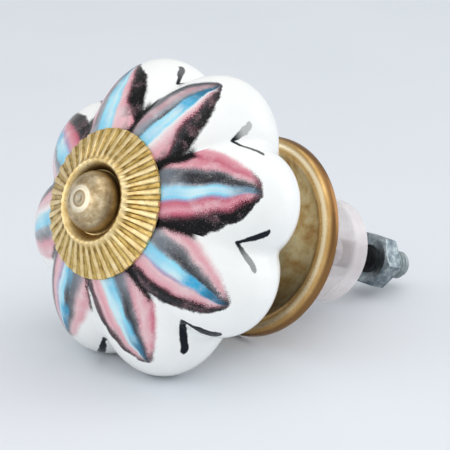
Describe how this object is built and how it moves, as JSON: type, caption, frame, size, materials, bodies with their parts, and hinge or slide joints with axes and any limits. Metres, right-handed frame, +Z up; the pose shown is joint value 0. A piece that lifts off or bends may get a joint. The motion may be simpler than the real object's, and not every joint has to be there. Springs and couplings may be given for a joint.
{
  "type": "cabinet knob",
  "caption": "Melon-shaped glazed ceramic cabinet knob with painted petals, a fluted brass rosette, a brass back plate, and a threaded stud with spacer sleeve and nut.",
  "frame": {"origin": "centre of the mounting plane, where the back plate's rim meets the furniture", "axes": "Y along the knob's axis with the stud towards +Y and the knob's front towards -Y, +Z up"},
  "size_m": [0.04, 0.0655, 0.04],
  "materials": {
    "glazed_ceramic": "white glaze with painted petals",
    "brass_rosette": "pressed, aged",
    "antique_brass": "turned, dark aged",
    "plated_stud": "zinc plated",
    "patinated_brass": "pressed, patinated",
    "clear_plastic": "clear, faintly pink",
    "zinc_nut": "zinc plated"
  },
  "bodies": {
    "root": {"ceramic_head": "glazed_ceramic", "front_rosette": "brass_rosette", "dome_nut": "antique_brass", "threaded_stud": "plated_stud", "back_plate": "patinated_brass", "clear_sleeve": "clear_plastic", "hex_nut": "zinc_nut"}
  },
  "joints": []
}
